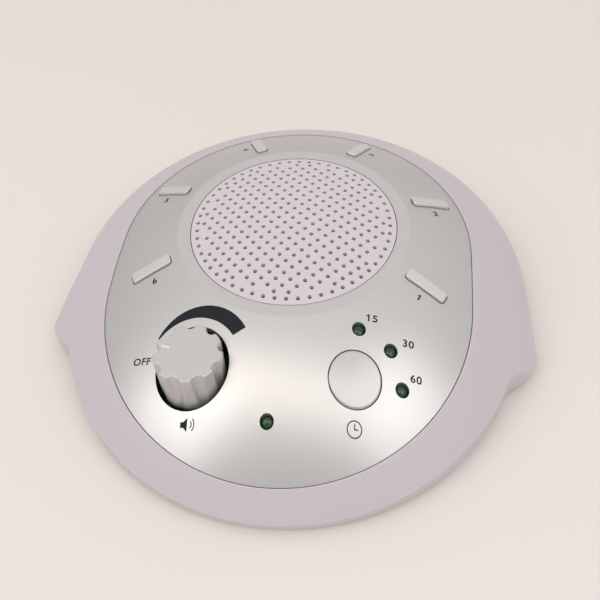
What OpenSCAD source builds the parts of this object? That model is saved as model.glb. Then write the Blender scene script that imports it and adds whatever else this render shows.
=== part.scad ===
// White noise sound machine: a domed housing with a round speaker grille,
// six sound buttons round it, a timer button, a volume knob and four lamps.
// Millimetres, +Z up, table at z = 0. The pieces are drawn about the grille's
// centre and moved back by grille_y, so that the origin is the middle of the
// housing's footprint.

/* [Dome] */
// Radius of the ball that the silver panel follows
dome_r = 140; // [132:1:160]
// Height of the grille's rim plane above the table
rim_h = 38; // [37:0.5:44]
// Outer radius of the flat ring round the grille
ring_r = 41.8; // [41:0.1:44]
// Height of the housing's lower edge above the table
edge_h = 2.5; // [2.2:0.1:3]

/* [Upper shell] */
// Plan radius of the rear of the housing
cape_r = 89.2; // [88:0.1:94]
// Radius of the shoulder between dome and side
shoulder_r = 29; // [26:0.5:31]
// Angle at which the sides spread towards the wings
wing_splay = 3.3; // [0:0.1:5]
// Distance that the wings run forward of the grille's centre
wing_reach = 34; // [26:0.5:38]
// Sweep angle of the wings' front edges
wing_sweep = 36; // [28:1:42]
// Size of the flat on the wings' corners
wing_corner = 1.5; // [0.5:0.1:3]
// Radius of the hollow between wing and front edge
notch_r = 12; // [6:0.5:16]
// Plan radius of the housing's front edge
front_r = 82.5; // [80:0.1:86]
// Distance of the front edge's centre in front of the grille's centre
front_shift = 15.8; // [13:0.1:18]
// Wall thickness of the upper shell
wall = 2.4; // [2:0.1:3]
// How far the shell's surface stands above the panel's
lip_rise = 0.6; // [0.3:0.1:1]

/* [Face panel] */
// Radius of the panel's round ends
panel_r = 64.2; // [63.5:0.1:66]
// Distance between the centres of the panel's round ends
panel_shift = 25; // [23:0.1:27]
// Thickness of the panel
panel_t = 2; // [1.6:0.1:2.2]
// Gap between the panel and the shell
panel_gap = 0.4; // [0.2:0.05:0.6]
// Width of the seat under the panel's edge
seat_w = 2.5; // [2:0.1:3]
// Diameter of the pegs that hold the panel
peg_d = 2; // [1.6:0.1:2.4]

/* [Grille] */
// Radius of the speaker grille
grille_r = 37; // [36:0.1:37.4]
// Height of the grille's crown above its rim
grille_rise = 3.9; // [2.5:0.1:5]
// Thickness of the grille
grille_t = 1.6; // [1.2:0.1:2]
// Gap round the grille
grille_gap = 0.3; // [0.2:0.05:0.4]
// Diameter of the grille's holes
hole_d = 1.5; // [1:0.1:1.8]
// Distance between neighbouring holes
hole_pitch = 3.5; // [3.2:0.1:4.5]
// Radius of the circle that the lattice of holes fills
lattice_r = 32.4; // [28:0.1:32.8]
// Radius of the outer ring of holes
hole_ring_r = 34.7; // [34.4:0.1:34.9]
// Number of holes in the outer ring
ring_holes = 56; // [40:1:60]

/* [Sound buttons] */
// Radial length of a sound button
key_l = 14.4; // [12:0.1:15]
// Width of a sound button
key_w = 4.2; // [3.4:0.1:5]
// Corner radius of a sound button
key_corner_r = 1.1; // [0.6:0.1:1.6]
// Distance of a sound button's middle from the grille's centre
key_rho = 52.7; // [52:0.1:53.2]
// Angle between neighbouring sound buttons
key_pitch = 45.8; // [43:0.1:47]
// How far a sound button stands above the panel
key_rise = 0.5; // [0.2:0.1:1]

/* [Timer button] */
// Radius of the timer button
timer_r = 8.35; // [7.5:0.05:9]
// Sideways place of the timer button
timer_x = 26.4; // [25:0.1:28]
// Distance of the timer button in front of the grille's centre
timer_y = 57.9; // [56:0.1:59]
// How far the timer button stands above the panel
timer_rise = 0.3; // [0.1:0.1:0.8]
// Gap round the buttons
button_gap = 0.3; // [0.2:0.05:0.45]
// Travel of the buttons
button_travel = 0.6; // [0.4:0.1:0.7]

/* [Volume knob] */
// Radius of the knob
knob_r = 11.4; // [10.5:0.1:11.8]
// Height of the knob's top above the table
knob_top = 37.2; // [35:0.1:40]
// Height of the knob's lower edge above the table
knob_foot = 20.4; // [20.2:0.1:21.5]
// Number of finger flutes on the knob
flutes = 11; // [8:1:14]
// Radius of a flute
flute_r = 2.1; // [1.4:0.1:2.6]
// Radius of the hole that the knob stands in
well_r = 12.6; // [12.3:0.1:13]
// Sideways place of the knob
knob_x = 26.4; // [25:0.1:27.5]
// Distance of the knob in front of the grille's centre
knob_y = 58; // [57:0.1:58.5]
// Diameter of the volume control's shaft
shaft_d = 6; // [5:0.5:6.5]

/* [Lamps] */
// Diameter of the lamps' holes
lamp_hole_d = 4.5; // [4.2:0.1:5]
// Diameter of a lamp
lamp_d = 3.9; // [3:0.1:4]
// Depth of a lamp's top below the panel
lamp_sink = 1.6; // [1:0.1:2.2]

/* [Base] */
// Thickness of the base plate
floor_t = 2.2; // [2:0.1:2.3]
// Height of the base plate's underside above the table
floor_h = 1.5; // [1.2:0.1:1.6]
// Gap between the base plate and the shell
base_gap = 0.5; // [0.3:0.1:0.8]
// Diameter of the rubber feet
foot_d = 12; // [10:0.5:14]
// Depth of the seats of the feet
foot_seat = 0.8; // [0.5:0.1:1]
// Diameter of the housing screws' shanks
screw_d = 2.9; // [2.5:0.1:3.1]

/* [Battery bay] */
// Diameter of a cell
cell_d = 14.3; // [14:0.1:14.4]
// Length of a cell with its nub
cell_l = 50.2; // [49.5:0.1:50.5]
// Distance between neighbouring cells
cell_pitch = 15; // [14.6:0.1:15.2]
// Room for the contacts at each end of a cell
contact_room = 2.25; // [2.1:0.05:2.4]
// Thickness of the battery door
door_t = 1.8; // [1.5:0.1:1.9]
// Gap round the battery door
door_gap = 0.3; // [0.2:0.05:0.4]

/* [Speaker] */
// Radius of the speaker's frame
speaker_r = 36.5; // [35.5:0.1:36.8]
// Depth of the speaker
speaker_depth = 12.4; // [12:0.1:12.5]
// Radius of the speaker's magnet
magnet_r = 16; // [12:0.5:18]

/* [Power socket] */
// Radius of the socket's bore
jack_bore_r = 3.15; // [2.8:0.05:3.2]
// Radius of the socket's centre pin
jack_pin_r = 1.05; // [0.9:0.05:1.1]
// Height of the socket's centre above the table
jack_h = 9.5; // [9.2:0.1:10]

/* [Circuit boards] */
// Thickness of the circuit boards
board_t = 1.6; // [1:0.1:1.6]
// Height of the main board's underside above the table
main_board_h = 9.4; // [9:0.1:9.5]
// Height of the key board's underside above the table
key_board_h = 20.4; // [20.3:0.1:20.6]
// Height of a push switch with its plunger
switch_h = 4.3; // [4:0.1:4.4]

/* [Hidden] */
$fn = 96;

lilac = [0.82, 0.77, 0.81];
silver = [0.74, 0.74, 0.75];
dark = [0.16, 0.17, 0.19];
board_green = [0.10, 0.36, 0.22];
lamp_green = [0.05, 0.30, 0.14];
steel = [0.70, 0.71, 0.72];

ball_fn = 180;       // facets of the dome's ball
slack = 0.1;         // play of pieces that sit inside each other
through = 60;        // length of a cut that goes right through
ball_z = rim_h - sqrt(dome_r * dome_r - ring_r * ring_r);
shell_r = dome_r + lip_rise;
shoulder_poke = 0.1;                           // the shoulder's arc crosses the dome at an angle
shoulder_c = shell_r - shoulder_r + shoulder_poke;
shoulder_x = cape_r - shoulder_r;
shoulder_z = ball_z + sqrt(shoulder_c * shoulder_c - shoulder_x * shoulder_x);
shoulder_n = [shoulder_x, shoulder_z - ball_z] / shoulder_c;
floor_top = floor_h + floor_t;
grille_y = (front_shift + front_r - shoulder_reach(edge_h)) / 2;
bite = 0.15;                                   // depth by which round and straight walls cross
wing_spare = 0.4;                              // extra wall of the wings' straight sides

// Height of the ball of radius r above the table, at rho from the grille's centre
function ball_top(r, rho) = ball_z + sqrt(r * r - rho * rho);
// Plan radius of the shoulder's surface at height z above the table
function shoulder_reach(z) = shoulder_x + sqrt(pow(shoulder_r, 2) - pow(z - shoulder_z, 2));
// Point where the lines (p . a) = da and (p . b) = db meet
function meet(a, da, b, db) =
    let (det = a[0] * b[1] - a[1] * b[0])
    [(da * b[1] - db * a[1]) / det, (db * a[0] - da * b[0]) / det];
// Angle of sound button i, from 1 on the front right round to 6
function key_angle(i) = 90 + (i - 3.5) * key_pitch;

side_n = [cos(wing_splay), sin(wing_splay)];
sweep_n = [sin(wing_sweep), -cos(wing_sweep)];
sweep_side = [sin(wing_splay), -cos(wing_splay)];
wing_overlap = 5;                              // run of the wings' plan behind their sides' start
side_lap = 8;                                  // run of the sides' section past the middle
wing_tip = side_n * cape_r + sweep_side * wing_reach;
sweep_d = wing_tip * sweep_n;
front_c = [0, -front_shift];
notch_off = sweep_d + notch_r - bite - front_c * sweep_n;
notch_run = sqrt(pow(front_r + notch_r - bite, 2) - notch_off * notch_off);
notch_c = front_c + sweep_n * notch_off + [cos(wing_sweep), sin(wing_sweep)] * notch_run;

module place() {
    translate([0, grille_y, 0]) children();
}

// Both sides of the housing
module both_sides() {
    children();
    mirror([1, 0, 0]) children();
}

// A ball about the dome's centre
module dome_ball(r) {
    translate([0, 0, ball_z]) sphere(r = r, $fn = ball_fn);
}

// A layer of the dome between radii top_r and top_r - t
module dome_layer(top_r, t) {
    difference() {
        dome_ball(top_r);
        dome_ball(top_r - t);
    }
}

// A vertical prism over a plan shape, from z = low up
module prism(low = -1, high = through) {
    translate([0, 0, low]) linear_extrude(high - low) children();
}

// One wing's plan, inset by e, with its straight side moved out by spare
module wing_plan(e, spare = 0) {
    tip = meet(side_n, cape_r - e, sweep_n, sweep_d - e);
    rear = [-sin(wing_splay), cos(wing_splay)] * wing_overlap;
    inward = -[cos(wing_sweep), sin(wing_sweep)];
    polygon([
        rear, rear + side_n * (cape_r - e + spare), tip - sweep_side * wing_corner + side_n * spare,
        tip - sweep_side * wing_corner, tip + inward * wing_corner,
        tip + inward * (cape_r - front_r + 18), [-1, -wing_reach]
    ]);
}

// The hollow that blends a wing's front edge into the round front
module notch_plan() {
    to_front = (front_c - notch_c) / norm(front_c - notch_c);
    inside = [front_r - 10, -wing_reach];
    difference() {
        polygon([notch_c, notch_c - sweep_n * (notch_r + 2), inside, notch_c + to_front * (notch_r + 2)]);
        translate(notch_c) circle(r = notch_r);
    }
}

// A flat layer of the base, inset by e from the housing's plan
module base_layer(e, low, high) {
    prism(low, high) circle(r = cape_r - e);
    prism(low, high) translate(front_c) circle(r = front_r - e);
    both_sides()
        prism(low, high) wing_plan(e + wing_spare);
}

// Outline of the face panel, inset by e
module panel_plan(e = 0) {
    circle(r = panel_r - e);
    translate([0, -panel_shift]) circle(r = panel_r - e);
    translate([-panel_r + e, -panel_shift]) square([2 * (panel_r - e), panel_shift]);
}

// Half section of the rear and the sides, which the dome cuts off above
module side_section() {
    ball_c = [0, ball_z];
    intersection() {
        translate([shoulder_x, shoulder_z]) circle(r = shoulder_r);
        square([2 * cape_r, shell_r]);
    }
    polygon([
        [0, 0], [shoulder_x + shoulder_r / 3, 0],
        ball_c + shoulder_n * (shell_r - 1), ball_c + shoulder_n * (shell_r + 6), [0, through]
    ]);
}

// The right half of the rear with its side, turned so that the side splays
module right_side() {
    reach = 2 * cape_r;
    intersection() {
        rotate(wing_splay) {
            intersection() {
                rotate_extrude() side_section();
                prism(-1) translate([-reach, 0]) square(2 * reach);
            }
            intersection() {
                rotate([90, 0, 0]) linear_extrude(wing_reach + 12) {
                    side_section();
                    translate([-side_lap, 0]) square([2 * side_lap, through]);
                }
                prism(-1) rotate(-wing_splay) wing_plan(0, 3);
            }
        }
        prism(-2) translate([0, -reach]) square(2 * reach);
    }
}

// The housing's outer form: the dome over the rear, the sides, the front and the notches
module shell_form() {
    intersection() {
        dome_ball(shell_r);
        union() {
            both_sides() {
                right_side();
                prism(0) notch_plan();
            }
            prism(0) difference() {
                translate(front_c) circle(r = front_r);
                translate([-2 * cape_r, -wing_reach / 2]) square(4 * cape_r);
            }
        }
    }
}

// Half section of the hollow, inset by e, with the shoulder's arc in flat steps
hollow_steps = 3;
hollow_low = 8;
hollow_high = 55;

module hollow_section(e) {
    r = shoulder_r - e;
    arc = [
        for (k = [0:hollow_steps])
            let (a = hollow_low + k * (hollow_high - hollow_low) / hollow_steps)
            [shoulder_x + r * cos(a), shoulder_z + r * sin(a)]
    ];
    polygon(concat([[0, -2], [arc[0][0], -2]], arc, [[shoulder_x, rim_h - 4], [0, through]]));
}

// Room inside the walls, open upwards
module hollow_room() {
    rotate_extrude() hollow_section(wall);
    prism(-2) translate(front_c) circle(r = front_r - wall);
    both_sides() intersection() {
        rotate([90, 0, wing_splay]) linear_extrude(wing_reach + 12) hollow_section(wall + wing_spare);
        prism(-2) wing_plan(wall + wing_spare, 3);
    }
}

// The hollow: under the shell's roof, and lower under the panel's seat
module hollow() {
    intersection() {
        hollow_room();
        union() {
            difference() {
                dome_ball(shell_r - wall);
                prism(-3) panel_plan(-panel_gap - wall);
            }
            dome_ball(seat_top_r - seat_t);
        }
    }
}

// Places of the panel's pegs, as angles about the nearer round end
peg_angles = [0, 45, 90, 135, 180];
front_peg_angles = [-30, -75, -105, -150];
peg_inset = 4;

module at_pegs() {
    for (a = peg_angles)
        rotate(a) translate([panel_r - peg_inset, 0, 0]) children();
    for (a = front_peg_angles)
        translate([0, -panel_shift, 0]) rotate(a) translate([panel_r - peg_inset, 0, 0]) children();
}

// Places of the housing screws
rear_screw = [52, 52];
side_screw = [68, -38];
boss_r = 3.5;
column_r = 5;
column_top = floor_top + 3.3;

module at_screws() {
    both_sides() {
        translate(rear_screw) children();
        translate(side_screw) children();
    }
}

seat_top_r = dome_r - panel_t - slack;
seat_t = 1.8;

module upper_shell() {
    color(lilac) place() difference() {
        union() {
            difference() {
                shell_form();
                hollow();
                prism(-2, edge_h) square(4 * cape_r, center = true);
                // recess for the panel, and the opening inside its seat
                difference() {
                    prism(edge_h) panel_plan(-panel_gap);
                    dome_ball(seat_top_r);
                }
                prism(edge_h) difference() {
                    panel_plan(seat_w);
                    at_pegs() circle(r = peg_d + 1.2);
                }
            }
            // bosses for the housing screws
            intersection() {
                dome_ball(shell_r - wall / 2);
                prism(column_top + slack) at_screws() circle(r = boss_r);
            }
        }
        at_screws() translate([0, 0, column_top - 1]) cylinder(h = screw_l, d = screw_d + slack);
        prism(edge_h) at_pegs() circle(d = peg_d + 2 * slack);
        translate([0, 0, jack_h]) rotate([-90, 0, 0]) cylinder(h = 2 * cape_r, r = jack_nose_r + slack);
    }
}

screw_l = 11;
screw_head_r = 2.8;
screw_head_h = 1.9;

module housing_screws() {
    color(steel) place() at_screws() {
        translate([0, 0, floor_h + 0.8]) cylinder(h = screw_head_h, r = screw_head_r);
        translate([0, 0, floor_h + 0.8]) cylinder(h = screw_l, d = screw_d);
    }
}

// A vertical cut in the panel for sound button i
module key_slot(grow) {
    long = key_l / 2 + grow - key_corner_r - grow;
    wide = key_w / 2 + grow - key_corner_r - grow;
    r = key_corner_r + grow;
    for (x = [-long, long])
        for (y = [-wide, wide])
            translate([x, y]) circle(r = r, $fn = 32);
    square([2 * (long + r), 2 * wide], center = true);
    square([2 * long, 2 * (wide + r)], center = true);
}

module at_key(i) {
    rotate(key_angle(i)) translate([key_rho, 0, 0]) children();
}

// Places of the lamps: the power lamp, then 15, 30 and 60 minutes
power_at = [0, -72.7];
lamp_15_at = [26.5, -42.6];
lamp_30_at = [37.1, -47.3];
lamp_60_at = [41.5, -58];
lamps = [power_at, lamp_15_at, lamp_30_at, lamp_60_at];

panel_under = rim_h - panel_t;
clip_angles = [0, 90, 180, 270];
clip_rho = 43.4;
clip_boss_r = 2.4;
clip_screw_r = 1;

module face_panel() {
    color(silver) place() difference() {
        union() {
            intersection() {
                dome_layer(dome_r, panel_t);
                prism(edge_h, rim_h) panel_plan();
            }
            // flat ring round the grille
            prism(panel_under, rim_h) circle(r = ring_r);
            // bosses for the speaker's clips
            intersection() {
                dome_ball(dome_r - panel_t / 2);
                prism(speaker_z - slack, rim_h - panel_t / 2)
                    for (a = clip_angles)
                        rotate(a) translate([clip_rho, 0]) circle(r = clip_boss_r);
            }
            // pegs through the seat, with their spread heads
            intersection() {
                dome_ball(dome_r - panel_t / 2);
                prism(edge_h) at_pegs() circle(d = peg_d);
                dome_layer(dome_r, panel_t + seat_t + 2 * slack + 1);
            }
            intersection() {
                dome_layer(seat_top_r - seat_t - slack, 1);
                prism(edge_h) at_pegs() circle(r = peg_d);
            }
        }
        prism() circle(r = grille_r + grille_gap);
        for (i = [1:6])
            at_key(i) prism() key_slot(button_gap);
        translate([timer_x, -timer_y]) prism() circle(r = timer_r + button_gap);
        translate([-knob_x, -knob_y]) prism() circle(r = well_r);
        for (p = lamps)
            translate(p) prism() circle(d = lamp_hole_d);
        for (a = clip_angles)
            rotate(a) translate([clip_rho, 0])
                prism(0, speaker_z + 3.4) circle(r = clip_screw_r + 0.05);
    }
}

grille_ball_r = (grille_r * grille_r + grille_rise * grille_rise) / (2 * grille_rise);
grille_ball_z = rim_h + grille_rise - grille_ball_r;
grille_flange_top = panel_under - 2 * slack;
grille_flange_t = 1.6;
grille_skirt_t = 1;
grille_flange_r = 40;
row_step = hole_pitch / sqrt(2);
rows = ceil(lattice_r / row_step);

// The grille's holes: a square lattice turned by 45 degrees, and a ring
module grille_holes() {
    for (j = [-rows:rows])
        for (i = [-rows:rows])
            if ((i + j) % 2 == 0 && norm([i, j]) * row_step < lattice_r)
                translate([i, j] * row_step) circle(d = hole_d, $fn = 16);
    for (k = [0:ring_holes - 1])
        rotate((k + 0.5) * 360 / ring_holes) translate([hole_ring_r, 0]) circle(d = hole_d, $fn = 16);
}

module speaker_grille() {
    color(lilac) place() {
        intersection() {
            difference() {
                translate([0, 0, grille_ball_z]) sphere(r = grille_ball_r, $fn = ball_fn);
                translate([0, 0, grille_ball_z]) sphere(r = grille_ball_r - grille_t, $fn = ball_fn);
            }
            prism(grille_flange_top) difference() {
                circle(r = grille_r);
                grille_holes();
            }
        }
        prism(grille_flange_top - grille_flange_t, rim_h - grille_t / 2) difference() {
            circle(r = grille_r);
            circle(r = grille_r - grille_skirt_t);
        }
        prism(grille_flange_top - grille_flange_t, grille_flange_top) difference() {
            circle(r = grille_flange_r);
            circle(r = grille_r - grille_skirt_t);
        }
    }
}

// Places of the rubber feet
rear_foot = [50, 34];
front_foot = [46, -66];

module at_feet() {
    both_sides() {
        translate(rear_foot) children();
        translate(front_foot) children();
    }
}

module rubber_feet() {
    color(dark) place() at_feet() {
        cylinder(h = floor_h + foot_seat - 0.02, d = foot_d - 2 * slack);
    }
}

// Battery bay: inner size and walls
bay_w = 3 * cell_pitch + cell_d + 1.2;
bay_d = cell_l + 2 * contact_room;
bay_wall = 1.6;
cell_bottom = floor_top + 0.2;
bay_roof = cell_bottom + cell_d + 0.5;
bay_top = bay_roof + 1.5;
door_w = bay_w + 2.2;
door_d = bay_d + 2.2;
tab_x = cell_pitch;
tab_w = 4.6;
tab_out = 2.3;
tab_t = 0.9;
finger_w = 12;
finger_out = 4.5;

module door_cut(grow) {
    square([door_w + 2 * grow, door_d + 2 * grow], center = true);
    translate([0, door_d / 2 + finger_out / 2])
        square([finger_w + 2 * grow, finger_out + 2 * grow], center = true);
}

// Posts for the boards
key_post_rho = 63.2;
key_posts = [0, 45, 90, 135, 180];
post_r = 2.6;
main_posts = [[52, -44], [-52, -44], [12, -75], [-12, -75]];
board_screw_r = 1.1;

base_inset = wall + base_gap + cape_r - shoulder_reach(floor_top);

module base_plate() {
    color(lilac) place() difference() {
        union() {
            base_layer(base_inset, floor_h, floor_top);
            // low ring that stiffens the base
            prism(floor_h, floor_top + 3.2) difference() {
                circle(r = cape_r - base_inset - 5);
                circle(r = cape_r - base_inset - 6.6);
            }
            prism(floor_h, column_top) at_screws() circle(r = column_r);
            prism(floor_h, bay_top)
                square([bay_w + 2 * bay_wall, bay_d + 2 * bay_wall], center = true);
            // roof over the door's thumb grip
            translate([-finger_w / 2 - 2, bay_d / 2, floor_h])
                cube([finger_w + 4, finger_out + 4, door_t + bay_wall]);
            for (a = key_posts)
                rotate(a) translate([key_post_rho, 0, floor_h])
                    cylinder(h = key_board_h - floor_h, r = post_r);
            for (p = main_posts)
                translate([p[0], p[1], floor_h]) cylinder(h = main_board_h - floor_h, r = post_r);
            // cradle of the power socket
            translate([-jack_w / 2 - 1.6, jack_back, floor_h])
                cube([jack_w + 3.2, jack_l + 1, jack_low - floor_h]);
            both_sides()
                translate([jack_w / 2 + slack, jack_back, floor_h]) cube([1.5, jack_l - 3, jack_low - floor_h + 4]);
            translate([-jack_w / 2, jack_back - 1.6, floor_h]) cube([jack_w, 1.5, jack_low - floor_h + 4]);
        }
        // room for the power socket
        translate([-jack_w / 2, jack_back, jack_low]) cube([jack_w, 2 * jack_l, jack_tall + 1]);
        // bay, door seat and the slots of the door's tabs
        translate([-bay_w / 2, -bay_d / 2, 0]) cube([bay_w, bay_d, bay_roof]);
        prism(0, floor_h + door_t + slack) door_cut(door_gap);
        for (x = [-tab_x, tab_x])
            translate([x - tab_w / 2 - door_gap, -door_d / 2 - door_gap - tab_out - 0.3, floor_h + tab_low - 0.1])
                cube([tab_w + 2 * door_gap, tab_out + 4, 5.5]);
        at_feet() translate([0, 0, floor_h - 1]) cylinder(h = 1 + foot_seat, d = foot_d);
        at_screws() {
            cylinder(h = floor_h + 0.8 + screw_head_h, r = screw_head_r + 0.4);
            cylinder(h = through, r = screw_d / 2 + 0.25);
        }
        for (a = key_posts)
            rotate(a) translate([key_post_rho, 0, key_board_h - 7])
                cylinder(h = through, r = board_screw_r + 0.05);
        for (p = main_posts)
            translate([p[0], p[1], main_board_h - 5]) cylinder(h = through, r = board_screw_r + 0.05);
    }
}

tab_low = door_t - tab_t;

module battery_door() {
    color(lilac) place() {
        difference() {
            prism(floor_h, floor_h + door_t) door_cut(0);
            // grip grooves for a thumb
            for (k = [0:3])
                translate([-5, door_d / 2 + finger_out - 1.6 - 1.8 * k, floor_h - 0.5]) cube([10, 0.8, 0.9]);
        }
        for (x = [-tab_x, tab_x])
            translate([x - tab_w / 2, -door_d / 2 - tab_out, floor_h + tab_low])
                cube([tab_w, tab_out + 1, tab_t]);
    }
}

// Cells side by side, every second one turned round
nub_r = 2.7;
nub_h = 1.2;

module at_cells() {
    for (k = [0:3])
        translate([(k - 1.5) * cell_pitch, 0, cell_bottom + cell_d / 2])
            rotate([90, 0, 180 * (k % 2)]) children();
}

module battery_cells() {
    color(dark) place() at_cells() {
        translate([0, 0, -cell_l / 2]) cylinder(h = cell_l - nub_h, r = cell_d / 2);
        translate([0, 0, -cell_l / 2]) cylinder(h = cell_l, r = nub_r);
    }
}

plate_t = 0.5;
plate_w = 9;

module contact_plates() {
    color(steel) place() at_cells() {
        for (side = [-1, 1])
            translate([-plate_w / 2, -plate_w / 2, side * (bay_d / 2 - plate_t / 2) - plate_t / 2])
                cube([plate_w, plate_w, plate_t]);
        translate([0, 0, cell_l / 2 + slack])
            cylinder(h = contact_room - plate_t - slack, r1 = nub_r - 1, r2 = nub_r + 0.6);
    }
}

module contact_springs() {
    spring_l = contact_room - plate_t - 0.02;
    color(steel) place() at_cells()
        translate([0, 0, -bay_d / 2 + plate_t + 0.02])
            difference() {
                cylinder(h = spring_l - slack, r1 = 4, r2 = 2.6);
                translate([0, 0, -1]) cylinder(h = spring_l + 2, r1 = 3.4, r2 = 1.8);
            }
}

main_board_top = main_board_h + board_t;
key_board_top = key_board_h + board_t;
main_board_inset = 19;
main_board_back = 34;

module main_board() {
    color(board_green) place() difference() {
        prism(main_board_h, main_board_top) intersection() {
            translate(front_c) circle(r = front_r - main_board_inset);
            translate([-cape_r, -main_board_back - cape_r]) square([2 * cape_r, cape_r]);
        }
        for (p = main_posts)
            translate([p[0], p[1]]) prism() circle(r = board_screw_r + 0.3);
        translate(mount_hole) prism() circle(r = 1.5);
    }
}

mount_hole = [0, -40];
key_board_r = 66;
key_board_bore_r = 37.6;
key_board_end = 38;

module key_board() {
    reach = 2 * key_board_r;
    color(board_green) place() difference() {
        prism(key_board_h, key_board_top) difference() {
            circle(r = key_board_r);
            circle(r = key_board_bore_r);
            polygon([[0, 0], [reach * cos(key_board_end), -reach * sin(key_board_end)],
                [0, -reach], [-reach * cos(key_board_end), -reach * sin(key_board_end)]]);
        }
        for (a = key_posts)
            rotate(a) translate([key_post_rho, 0]) prism() circle(r = board_screw_r + 0.3);
    }
}

module board_screw(z, l) {
    translate([0, 0, z + 0.02]) cylinder(h = 1.3, r = 2);
    translate([0, 0, z - l]) cylinder(h = l + 1, r = board_screw_r);
}

module board_screws() {
    color(steel) place() {
        for (a = key_posts)
            rotate(a) translate([key_post_rho, 0, 0]) board_screw(key_board_top, 6.5);
        for (p = main_posts)
            translate([p[0], p[1], 0]) board_screw(main_board_top, 5);
    }
}

switch_w = 6;
switch_body_h = 3.5;

module push_switch() {
    translate([-switch_w / 2, -switch_w / 2, 0.02]) cube([switch_w, switch_w, switch_body_h - 0.02]);
    cylinder(h = switch_h, r = 1.75);
}

module key_switches() {
    color(dark) place()
        for (i = [1:6])
            at_key(i) translate([0, 0, key_board_top]) push_switch();
}

module timer_switch() {
    color(dark) place() translate([timer_x, -timer_y, main_board_top]) push_switch();
}

// Sound button: cap, retaining flange under the panel, and stem to its switch
flange_w = 0.8;
flange_t = 1.2;
stem_r = 1.6;
press_gap = button_travel + 0.15;

module sound_button(i) {
    flange_r = dome_r - panel_t - 0.3;
    color(silver) place() {
        intersection() {
            dome_layer(dome_r + key_rise, panel_t + key_rise + 1.2);
            at_key(i) prism() key_slot(0);
        }
        intersection() {
            dome_layer(flange_r, flange_t);
            at_key(i) prism() key_slot(flange_w + button_gap);
        }
        intersection() {
            dome_ball(flange_r - flange_t / 2);
            at_key(i) prism(key_board_top + switch_h + press_gap) circle(r = stem_r);
        }
    }
}

module sound_button_1() {
    sound_button(1);
}
module sound_button_2() {
    sound_button(2);
}
module sound_button_3() {
    sound_button(3);
}
module sound_button_4() {
    sound_button(4);
}
module sound_button_5() {
    sound_button(5);
}
module sound_button_6() {
    sound_button(6);
}

module timer_button() {
    flange_r = dome_r - panel_t - 0.3;
    at = [timer_x, -timer_y];
    color(silver) place() {
        intersection() {
            dome_layer(dome_r + timer_rise, panel_t + timer_rise + 1.2);
            translate(at) prism() circle(r = timer_r);
        }
        intersection() {
            dome_layer(flange_r, flange_t);
            translate(at) prism() circle(r = timer_r + flange_w + button_gap);
        }
        intersection() {
            dome_ball(flange_r - flange_t / 2);
            translate(at) prism(main_board_top + switch_h + press_gap) circle(r = stem_r + 0.8);
        }
    }
}

control_r = 8;
control_h = 7.6;
collar_r = 4.5;
collar_h = 1.2;
knob_at = [-knob_x, -knob_y, 0];

module volume_control() {
    color(steel) place() translate(knob_at) difference() {
        union() {
            translate([0, 0, main_board_top + 0.02]) cylinder(h = control_h, r = control_r);
            translate([0, 0, main_board_top + 0.02]) cylinder(h = control_h + collar_h, r = collar_r);
            translate([-control_r - 2, -3, main_board_top + 0.02]) cube([control_r, 6, 2]);
        }
        translate([0, 0, main_board_top + 3]) cylinder(h = through, r = shaft_d / 2 + 0.05);
    }
}

shaft_top = knob_top - 3;

module volume_shaft() {
    color(steel) place() translate(knob_at) difference() {
        translate([0, 0, main_board_top + 3.3])
            cylinder(h = shaft_top - main_board_top - 3.3, r = shaft_d / 2);
        // flat that turns the knob
        translate([shaft_d / 2 - 1, -shaft_d, knob_foot + 3]) cube([shaft_d, 2 * shaft_d, through]);
    }
}

flute_lean = 5;
knob_edge_r = 1;
knob_skirt_t = 1.8;
knob_hub_r = 5.5;
knob_top_t = 2.4;

// Outside of the knob: a rounded drum with leaning flutes that run out downwards
module knob_body() {
    h = knob_top - knob_foot;
    difference() {
        rotate_extrude() {
            square([knob_r - knob_edge_r, h]);
            square([knob_r, h - knob_edge_r]);
            translate([knob_r - knob_edge_r, h - knob_edge_r]) circle(r = knob_edge_r, $fn = 32);
        }
        for (k = [0:flutes - 1])
            rotate((k + 0.5) * 360 / flutes)
                translate([knob_r + 0.6, 0, h])
                    rotate([0, -flute_lean, 0])
                        translate([0, 0, -through / 2]) cylinder(h = through, r = flute_r, $fn = 32);
    }
}

module volume_knob() {
    h = knob_top - knob_foot;
    color(silver) place() translate(knob_at) translate([0, 0, knob_foot]) {
        difference() {
            knob_body();
            translate([0, 0, -1]) difference() {
                cylinder(h = h - knob_top_t + 1, r = knob_r - flute_r - knob_skirt_t + 0.6);
                cylinder(h = h, r = knob_hub_r);
            }
            // shaft hole with its flat
            translate([0, 0, -1]) difference() {
                cylinder(h = shaft_top - knob_foot + 1 + slack, r = shaft_d / 2 + 0.03);
                translate([shaft_d / 2 - 0.97, -shaft_d, 4]) cube([shaft_d, 2 * shaft_d, through]);
            }
            // slot for the pointer's inlay
            translate([-knob_r + 2.2, -0.45, h - 0.25]) cube([4.2, 0.9, 1]);
        }
    }
}

lamp_l = 5.4;

module lamp(at) {
    top = ball_top(dome_r, norm(at)) - lamp_sink;
    color(lamp_green) place() translate([at[0], at[1], 0]) {
        translate([0, 0, top - lamp_l]) cylinder(h = lamp_l - lamp_d / 2, r = lamp_d / 2);
        translate([0, 0, top - lamp_d / 2]) sphere(r = lamp_d / 2);
    }
}

module power_lamp() {
    lamp(power_at);
}
module timer_lamp_15() {
    lamp(lamp_15_at);
}
module timer_lamp_30() {
    lamp(lamp_30_at);
}
module timer_lamp_60() {
    lamp(lamp_60_at);
}

module lamp_spacers() {
    color(dark) place()
        for (p = lamps)
            translate([p[0], p[1], main_board_top + 0.02])
                cylinder(
                    h = ball_top(dome_r, norm(p)) - lamp_sink - lamp_l - main_board_top - 0.04,
                    r = lamp_d / 2 - 0.2
                );
}

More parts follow.
